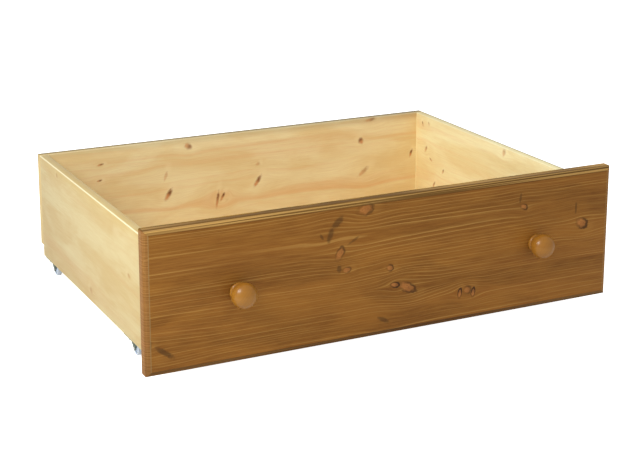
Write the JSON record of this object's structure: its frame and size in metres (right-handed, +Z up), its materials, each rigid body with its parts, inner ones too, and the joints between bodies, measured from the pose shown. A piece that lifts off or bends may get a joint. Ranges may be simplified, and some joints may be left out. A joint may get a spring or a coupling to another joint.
{
  "type": "under-bed storage drawer",
  "caption": "Low open pine storage drawer with a stained moulded front, turned knobs and swivel castors, which rolls under a bed.",
  "frame": {"origin": "on the floor under the castors, at the middle of the overall footprint", "axes": "+Z up; the front panel faces -Y, so +Y runs towards the back; +X is to the right seen from the front"},
  "size_m": [0.95, 0.734, 0.278],
  "materials": {
    "pine_board": "clear lacquered knotty pine",
    "stained_pine": "honey-brown stained knotty pine with satin lacquer",
    "honey_pine": "turned pine, gloss honey lacquer",
    "plywood": "bare softwood plywood",
    "beech": "bare beech dowel",
    "screw_steel": "bright zinc-plated screws",
    "castor_zinc": "zinc-plated pressed steel, slightly dulled",
    "rivet_steel": "bright steel",
    "castor_nylon": "translucent pale blue-white plastic"
  },
  "bodies": {
    "drawer": {"front_panel": "stained_pine", "left_side": "pine_board", "right_side": "pine_board", "back_panel": "pine_board", "base_panel": "plywood", "left_runner": "pine_board", "right_runner": "pine_board", "base_batten": "pine_board", "left_corner_block": "pine_board", "right_corner_block": "pine_board", "front_dowels": "beech", "back_screws": "screw_steel", "corner_block_screws": "screw_steel", "runner_screws": "screw_steel", "base_screws": "screw_steel", "left_knob": "honey_pine", "right_knob": "honey_pine", "knob_screws": "screw_steel", "knob_washers": "screw_steel", "castor_screws": "castor_zinc", "front_left_plate": "castor_zinc", "front_left_king_rivet": "rivet_steel", "front_left_race_balls": "rivet_steel", "front_right_plate": "castor_zinc", "front_right_king_rivet": "rivet_steel", "front_right_race_balls": "rivet_steel", "rear_left_plate": "castor_zinc", "rear_left_king_rivet": "rivet_steel", "rear_left_race_balls": "rivet_steel", "rear_right_plate": "castor_zinc", "rear_right_king_rivet": "rivet_steel", "rear_right_race_balls": "rivet_steel"},
    "front_left_castor": {"front_left_fork": "castor_zinc", "front_left_axle": "rivet_steel"},
    "front_left_wheel": {"front_left_wheel": "castor_nylon"},
    "front_right_castor": {"front_right_fork": "castor_zinc", "front_right_axle": "rivet_steel"},
    "front_right_wheel": {"front_right_wheel": "castor_nylon"},
    "rear_left_castor": {"rear_left_fork": "castor_zinc", "rear_left_axle": "rivet_steel"},
    "rear_left_wheel": {"rear_left_wheel": "castor_nylon"},
    "rear_right_castor": {"rear_right_fork": "castor_zinc", "rear_right_axle": "rivet_steel"},
    "rear_right_wheel": {"rear_right_wheel": "castor_nylon"}
  },
  "joints": [
    {"name": "front_left_swivel", "type": "hinge", "parent": "drawer", "child": "front_left_castor", "pos_m": [-0.434, -0.158, 0.0275], "axis": [0, 0, 1], "continuous": true},
    {"name": "front_left_roll", "type": "hinge", "parent": "front_left_castor", "child": "front_left_wheel", "pos_m": [-0.434, -0.169, 0.0125], "axis": [1, 0, 0], "continuous": true},
    {"name": "front_right_swivel", "type": "hinge", "parent": "drawer", "child": "front_right_castor", "pos_m": [0.434, -0.158, 0.0275], "axis": [0, 0, 1], "continuous": true},
    {"name": "front_right_roll", "type": "hinge", "parent": "front_right_castor", "child": "front_right_wheel", "pos_m": [0.434, -0.169, 0.0125], "axis": [1, 0, 0], "continuous": true},
    {"name": "rear_left_swivel", "type": "hinge", "parent": "drawer", "child": "rear_left_castor", "pos_m": [-0.434, 0.32, 0.0275], "axis": [0, 0, 1], "continuous": true},
    {"name": "rear_left_roll", "type": "hinge", "parent": "rear_left_castor", "child": "rear_left_wheel", "pos_m": [-0.434, 0.309, 0.0125], "axis": [1, 0, 0], "continuous": true},
    {"name": "rear_right_swivel", "type": "hinge", "parent": "drawer", "child": "rear_right_castor", "pos_m": [0.434, 0.32, 0.0275], "axis": [0, 0, 1], "continuous": true},
    {"name": "rear_right_roll", "type": "hinge", "parent": "rear_right_castor", "child": "rear_right_wheel", "pos_m": [0.434, 0.309, 0.0125], "axis": [1, 0, 0], "continuous": true}
  ]
}
